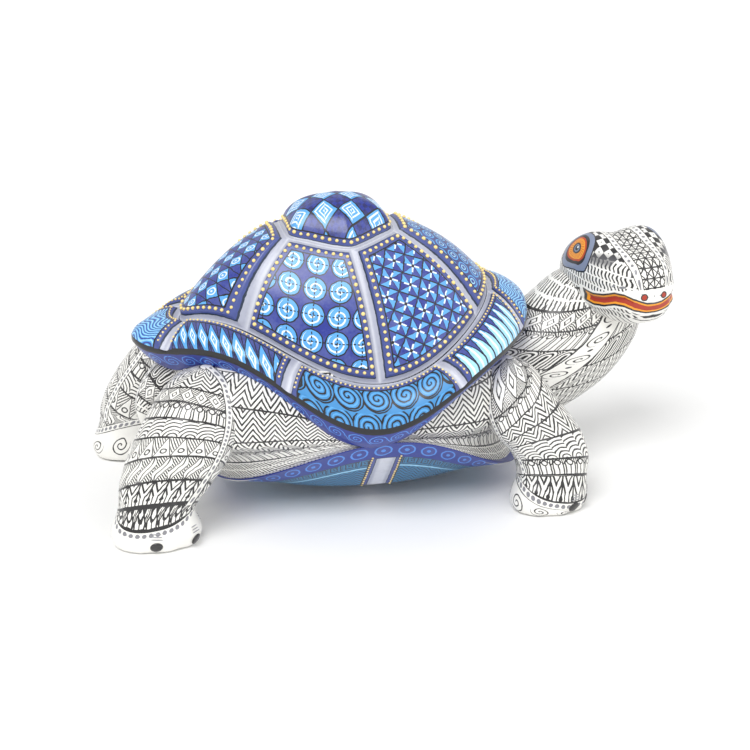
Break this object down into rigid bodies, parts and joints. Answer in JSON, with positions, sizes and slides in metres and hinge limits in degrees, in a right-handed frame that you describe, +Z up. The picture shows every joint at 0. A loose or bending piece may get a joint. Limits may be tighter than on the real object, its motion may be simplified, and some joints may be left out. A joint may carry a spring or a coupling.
{
  "type": "carved wooden turtle figure",
  "caption": "Free-standing carved and painted wooden turtle with a domed scute shell, splayed legs and a raised, turned head, pegged together.",
  "frame": {"origin": "on the floor, under the middle of the whole figure's box", "axes": "+X towards the head, +Y to the turtle's left, +Z up; the four soles stand at z = 0"},
  "size_m": [0.266, 0.132, 0.1375],
  "materials": {
    "painted_carapace": "satin varnish over hand-painted blue wood",
    "painted_plastron": "satin varnish over hand-painted blue wood",
    "painted_body": "satin varnish over white wood with black brush lines",
    "bare_dowel": "bare turned wood"
  },
  "bodies": {
    "root": {"carapace": "painted_carapace", "carapace_dowels": "bare_dowel", "front_left_leg": "painted_body", "front_left_leg_dowel": "bare_dowel", "front_right_leg": "painted_body", "front_right_leg_dowel": "bare_dowel", "neck_and_head": "painted_body", "neck_dowel": "bare_dowel", "plastron": "painted_plastron", "plastron_dowels": "bare_dowel", "rear_left_leg": "painted_body", "rear_left_leg_dowel": "bare_dowel", "rear_right_leg": "painted_body", "rear_right_leg_dowel": "bare_dowel", "tail": "painted_body", "tail_dowel": "bare_dowel", "torso": "painted_body"}
  },
  "joints": []
}
